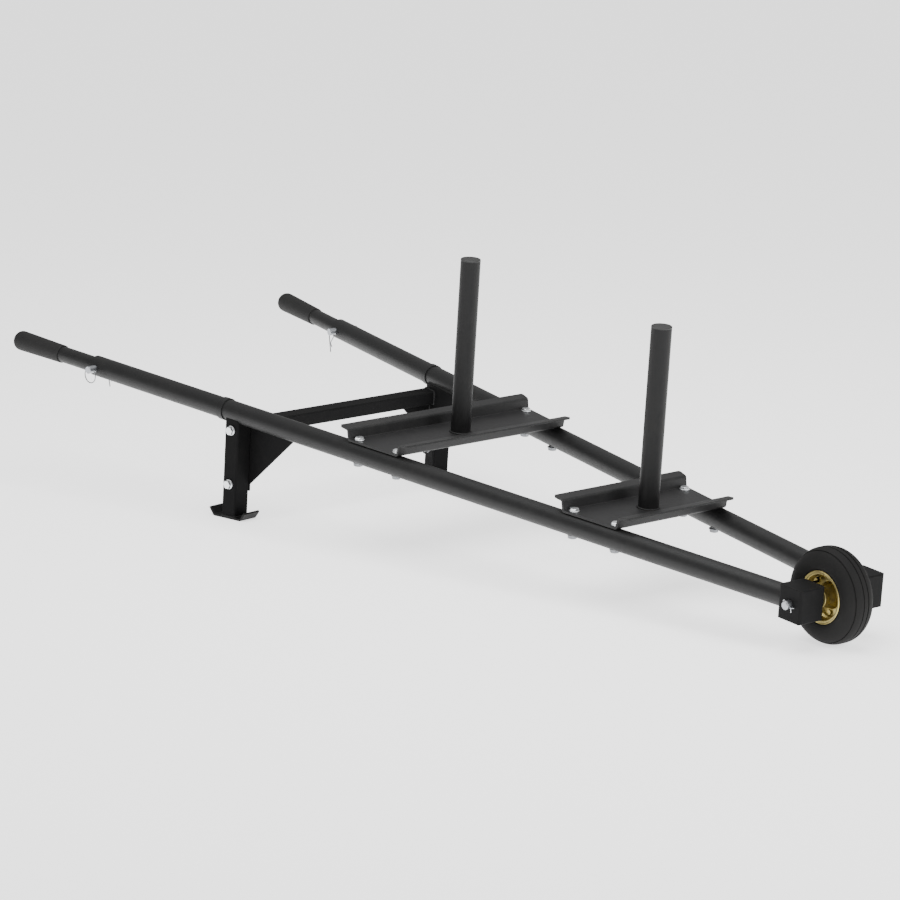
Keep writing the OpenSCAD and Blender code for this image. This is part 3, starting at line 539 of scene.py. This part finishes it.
def washer_grid(outer, hole, thick, sides=48):
    """A flat ring with its stamped edge rounded over on top."""
    turn = np.linspace(0, 2 * math.pi, sides, endpoint=False)
    r = np.array([hole, outer - 0.0002, outer, outer, outer - 0.0002, outer - 0.0006, hole, hole])
    z = np.array([0, 0, 0.0002, thick - 0.0006, thick - 0.0002, thick, thick, 0])
    return np.stack([r[:, None] * np.cos(turn), r[:, None] * np.sin(turn),
                     np.broadcast_to(z[:, None], (len(r), sides))], -1)


def thread_grid(diameter, length, pitch=0.00175, depth=0.0010, chamfer=0.0014, sides=24, per_turn=8):
    """A rolled thread from z = 0 down to -length: radius falls by a rounded V that runs round once per
    pitch, and fades into a chamfer at the end."""
    turn = np.linspace(0, 2 * math.pi, sides, endpoint=False)
    z = np.linspace(0, length, int(length / pitch * per_turn) + 1)
    phase = z[:, None] / pitch - turn[None, :] / (2 * math.pi)
    vee = np.abs(2 * (phase % 1.0) - 1)
    radius = diameter / 2 - depth * vee ** 0.8
    end = diameter / 2 - np.clip(z - (length - chamfer), 0, None)
    radius = np.minimum(radius, end[:, None])
    radius = np.vstack([np.full((1, sides), 1e-6), radius, np.full((1, sides), 1e-6)])
    z = np.concatenate([[0.0], z, [length]])
    return np.stack([radius * np.cos(turn), radius * np.sin(turn),
                     -np.broadcast_to(z[:, None], radius.shape)], -1)


def screwed(grid, turned_by):
    """Turns a grid about its own z axis."""
    c, s = math.cos(turned_by), math.sin(turned_by)
    x, y, z = np.moveaxis(grid, -1, 0)
    return np.stack([x * c - y * s, x * s + y * c, z], -1)


def shank_grid(radius, length, sides=24):
    """The plain part of a bolt from z = 0 down."""
    turn = np.linspace(0, 2 * math.pi, sides, endpoint=False)
    r = np.array([1e-6, radius, radius, 1e-6])
    z = np.array([0, 0, -length, -length])
    return np.stack([r[:, None] * np.cos(turn), r[:, None] * np.sin(turn),
                     np.broadcast_to(z[:, None], (4, sides))], -1)


bolt_d = 0.012
bolt_flats = 0.019
head_high = 0.0075
low_head_high = 0.0045
nut_high = 0.010
thin_nut_high = 0.006
washer_d = 0.024
washer_t = 0.0024
thread_l = 0.019
thread_out = 0.005
thin_thread_out = 0.0005
leg_bolt_depths = (0.0405, 0.177)
tray_bolt_reach = 0.062
tray_bolt_in = 0.005
bolt_zinc = zinc_plate("bolt_zinc", tone=(0.90, 0.91, 0.92), gloss=0.34)
# painted shade: the nuts and nut washers get a dark copy of the bolts' zinc (0.26 against 0.90)
nut_zinc_painted_shade = zinc_plate("nut_zinc_painted_shade", tone=(0.26, 0.265, 0.275), gloss=0.45)


def bolt_grids(length, turned_by, high):
    """Washer, head, shank and threaded end of a bolt that hangs from z = 0 to -length."""
    rise = np.array([0, 0, washer_t])
    return [washer_grid(washer_d / 2, bolt_d / 2, washer_t),
            screwed(head_grid(bolt_flats, high), turned_by) + rise,
            shank_grid(bolt_d / 2, length - thread_l + washer_t) + rise,
            thread_grid(bolt_d, thread_l) - np.array([0, 0, length - thread_l])]


def nut_grids(turned_by, high):
    """Washer and nut that hang below z = 0."""
    return [washer_grid(washer_d / 2, bolt_d / 2, washer_t) * np.array([1, 1, -1]),
            screwed(head_grid(bolt_flats, high, True, bolt_d / 2), turned_by)
            - np.array([0, 0, high + washer_t])]


def through_leg(grid, side, depth, y):
    """Lays a bolt's z along the leg's outward y, depth below the rail's axis."""
    return stood(along_rail(side, np.stack([grid[..., 0] - leg_back, grid[..., 2] + y,
                                            -grid[..., 1] - depth], -1)))


# each bolt and nut is left at its own turn, as hands leave them
leg_bolt_grids = []
leg_nut_grids = []
leg_bolt_length = 2 * leg_half + plate_t + washer_t + nut_high + thread_out
for side in (-1, 1):
    for k, depth in enumerate(leg_bolt_depths):
        leg_bolt_grids += [through_leg(g, side, depth, leg_half)
                           for g in bolt_grids(leg_bolt_length, 0.3 + 1.1 * k + side, head_high)]
        leg_nut_grids += [through_leg(g, side, depth, -yoke_in)
                          for g in nut_grids(0.7 + 0.9 * k + side, nut_high)]

tray_bolt_grids = []
tray_nut_grids = []
tray_bolt_length = tray_top + rail_radius + washer_t + thin_nut_high + thin_thread_out
for post_x in post_places:
    for side in (-1, 1):
        for dx in (-tray_bolt_reach, tray_bolt_reach):
            x = post_x + dx
            spot = np.array([x, side * (rail_gap - x * math.tan(rail_turn) - tray_bolt_in), 0])
            wind = 5 * x + 2 * side
            tray_bolt_grids += [stood(g + spot + np.array([0, 0, tray_top]))
                                for g in bolt_grids(tray_bolt_length, wind, low_head_high)]
            tray_nut_grids += [stood(g + spot - np.array([0, 0, rail_radius]))
                               for g in nut_grids(wind + 0.5, thin_nut_high)]
for name, grids, finish in (("leg_bolts", leg_bolt_grids, bolt_zinc), ("leg_nuts", leg_nut_grids, nut_zinc_painted_shade),
                            ("tray_bolts", tray_bolt_grids, bolt_zinc),
                            ("tray_nuts", tray_nut_grids, nut_zinc_painted_shade)):
    piece = knit("detailed_" + name, grids, finish, "frame", crease=30)
    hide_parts(name)

# Axle, split pins and spacers
# A turned steel axle through both boxes, held by a split pin in each end, with a plain sleeve
# each side of the wheel.
axle_zinc = zinc_plate("axle_zinc", tone=(0.40, 0.41, 0.43), gloss=0.36, ease=0.001)
dress(axle_zinc, "axle", "axle_spacers", "hub_sleeve")
split_pin_zinc = zinc_plate("split_pin_zinc", tone=(0.56, 0.57, 0.58), gloss=0.36, ease=0.0004)
dress(split_pin_zinc, "split_pins")

# Bearings
# Two sealed-size ball bearings in the rims' cups: ground, hardened steel rings and polished balls.
bearing = Finish("bearing_steel")
bearing_place = bearing.place()
ground = bearing.grain(1500, 2, 0.5, bearing_place)
bearing_eased = eased_edges(bearing, 0.0004)
bearing_tone = bearing.tint(bearing.grain(80, 3, 0.5, bearing_place),
                            (0.50, 0.50, 0.50, 1), (0.60, 0.59, 0.57, 1))
bearing_steel = bearing.shader(Base_Color=bearing_tone, Metallic=1.0, Roughness=0.18 + 0.14 * ground,
                               Normal=bearing.relief(ground, 0.00001, bearing_eased))
dress(bearing_steel, "bearing_outer_rings", "bearing_inner_rings", "bearing_balls")

# Rims and rim bolts
# Two pressed steel rim halves, yellow zinc plated to a brassy gold, bolted face to face. The
# passivation drifts from straw to amber and picks up dull handling marks.
rim = Finish("rim_gold")
rim_place = rim.place()
rim_eased = eased_edges(rim, 0.0006)
drift = rim.grain(38, 3, 0.6, rim_place)
mark = rim.grain(420, 3, 0.6, rim_place)
rim_base = rim.tint(rim.steps(drift, (0.35, 0.0), (0.65, 1.0)), (0.52, 0.43, 0.16, 1), (0.40, 0.335, 0.14, 1))
rim_worn = rim.tint(rim.steps(mark * drift, (0.22, 0.0), (0.42, 1.0)) * 0.5, rim_base, (0.22, 0.17, 0.08, 1))
rim_gold = rim.shader(Base_Color=rim_worn, Metallic=1.0, Roughness=0.34 + 0.2 * (mark - 0.5) + 0.1 * drift,
                      Normal=rim.relief(mark, 0.00002, rim_eased))
dress(rim_gold, "left_rim", "right_rim", "rim_bolts", "rim_nuts")

# Tyre, tube and valve
# A small pneumatic tyre with a ribbed tread on an inner tube. Moulded carbon black rubber, matte,
# greyed a little by bloom; the tube and the valve stem are softer rubber.
tyre = Finish("tyre_rubber")
tyre_place = tyre.place()
bloom = tyre.grain(14, 5, 0.65, tyre_place)
mould = tyre.grain(700, 3, 0.6, tyre_place)
tyre_eased = eased_edges(tyre, 0.0008)
tyre_tone = tyre.tint(bloom, (0.0092, 0.0092, 0.0095, 1), (0.0175, 0.0171, 0.0164, 1))
tyre_rubber = tyre.shader(Base_Color=tyre_tone, Roughness=0.60 + 0.14 * bloom, Specular_IOR_Level=0.10,
                          Normal=tyre.relief(mould, 0.00006, tyre_eased))
dress(tyre_rubber, "tyre", "inner_tube", "valve_stem")
